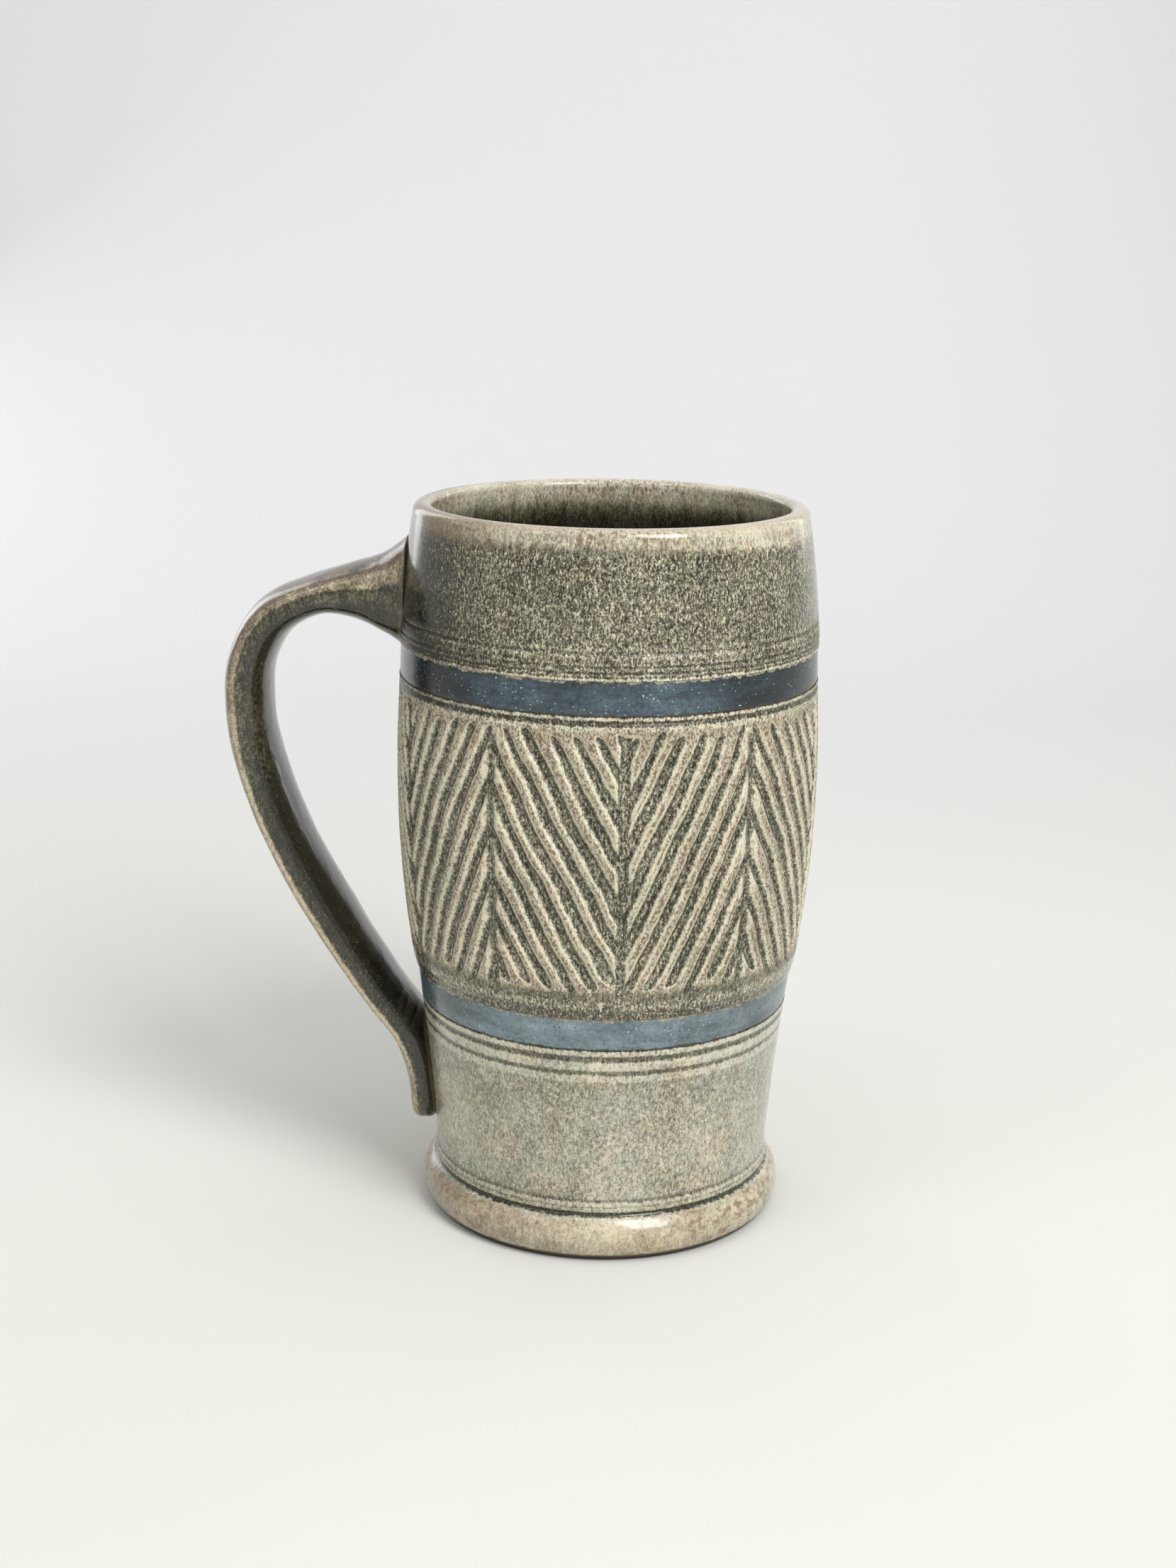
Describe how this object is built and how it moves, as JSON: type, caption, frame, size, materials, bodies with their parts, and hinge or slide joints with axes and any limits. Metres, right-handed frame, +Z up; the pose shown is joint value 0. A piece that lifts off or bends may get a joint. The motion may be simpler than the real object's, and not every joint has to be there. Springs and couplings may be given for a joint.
{
  "type": "beer stein",
  "caption": "Open hand-thrown stoneware beer stein with a carved chevron belly, turned foot bead, blue glaze bands and a pulled strap handle.",
  "frame": {"origin": "centre of the foot's standing plane, on the axis of the cup", "axes": "+Z up along the cup's axis; the handle points along -X; +Y completes the right-handed frame, and the carved front seen with the handle at the left faces -Y"},
  "size_m": [0.1249, 0.0884, 0.152],
  "materials": {
    "carved_stoneware": "satin olive-grey stoneware glaze that breaks to tan on edges",
    "handle_stoneware": "satin olive stoneware glaze with tan ridges",
    "dark_blue_glaze": "glossy dark slate blue with fine pale specks",
    "pale_blue_glaze": "glossy grey-blue",
    "liner_glaze": "glossy olive-brown, poured"
  },
  "bodies": {
    "root": {"thrown_body": "carved_stoneware", "pulled_handle": "handle_stoneware", "upper_blue_band": "dark_blue_glaze", "lower_blue_band": "pale_blue_glaze", "liner_glaze": "liner_glaze"}
  },
  "joints": []
}
